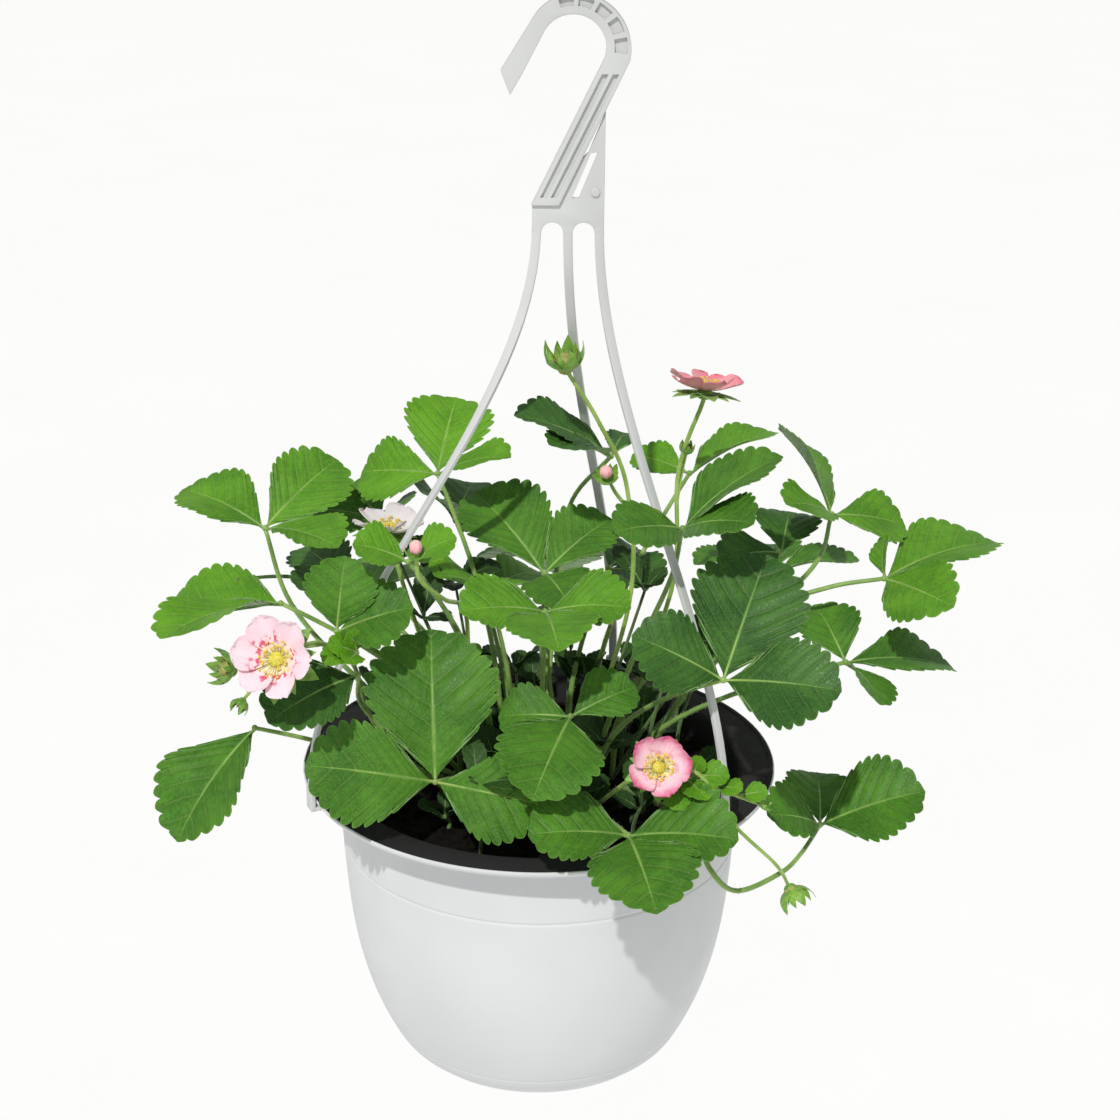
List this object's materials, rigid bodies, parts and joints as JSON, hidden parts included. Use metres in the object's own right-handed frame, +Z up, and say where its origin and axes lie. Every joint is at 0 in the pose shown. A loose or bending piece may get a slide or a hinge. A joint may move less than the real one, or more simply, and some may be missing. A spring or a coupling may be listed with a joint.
{
  "type": "potted strawberry plant",
  "caption": "Flowering strawberry plant in a round white hanging pot, held by a one-piece plastic hanger with a hook.",
  "frame": {"origin": "the seat at the top of the inside of the hook, in the middle of its thickness", "axes": "+Z up along the hang, -Y to the front (the side that the picture shows), +X to the right"},
  "size_m": [0.444, 0.3443, 0.5675],
  "materials": {
    "white_plastic": "satin white moulded polypropylene",
    "soil": "damp dark peat and bark fibre, rough",
    "leaf": "living leaf, soft sheen",
    "calyx": "living green stalks and sepals, soft sheen",
    "petal": "living petal, matte",
    "pollen": "pollen, matte"
  },
  "bodies": {
    "root": {"bud_opening": "petal", "bud_pink": "petal", "hanger": "white_plastic", "leaf_back_arched": "leaf", "leaf_back_dark": "leaf", "leaf_back_left": "leaf", "leaf_back_low": "leaf", "leaf_back_right": "leaf", "leaf_back_right_low": "leaf", "leaf_centre_high": "leaf", "leaf_centre_low": "leaf", "leaf_centre_mid": "leaf", "leaf_centre_shade": "leaf", "leaf_far_left": "leaf", "leaf_far_right": "leaf", "leaf_front_left": "leaf", "leaf_front_rim": "leaf", "leaf_left_back": "leaf", "leaf_left_bud": "leaf", "leaf_left_droop": "leaf", "leaf_left_mid": "leaf", "leaf_left_shade": "leaf", "leaf_low_right": "leaf", "leaf_mid_pale": "leaf", "leaf_right_big": "leaf", "leaf_right_inner": "leaf", "leaf_right_mid": "leaf", "leaf_top_left": "leaf", "leaf_top_mid": "leaf", "leaf_top_right": "leaf", "leaf_under_flower": "leaf", "leaf_upper_right": "leaf", "petals_back": "petal", "petals_left": "petal", "petals_right": "petal", "petals_shade": "petal", "pot": "white_plastic", "soil": "soil", "stamens_back": "pollen", "stamens_left": "pollen", "stamens_right": "pollen", "stamens_shade": "pollen", "truss_back": "calyx", "truss_bud": "calyx", "truss_high": "calyx", "truss_left": "calyx", "truss_right": "calyx", "truss_shade": "calyx"}
  },
  "joints": []
}
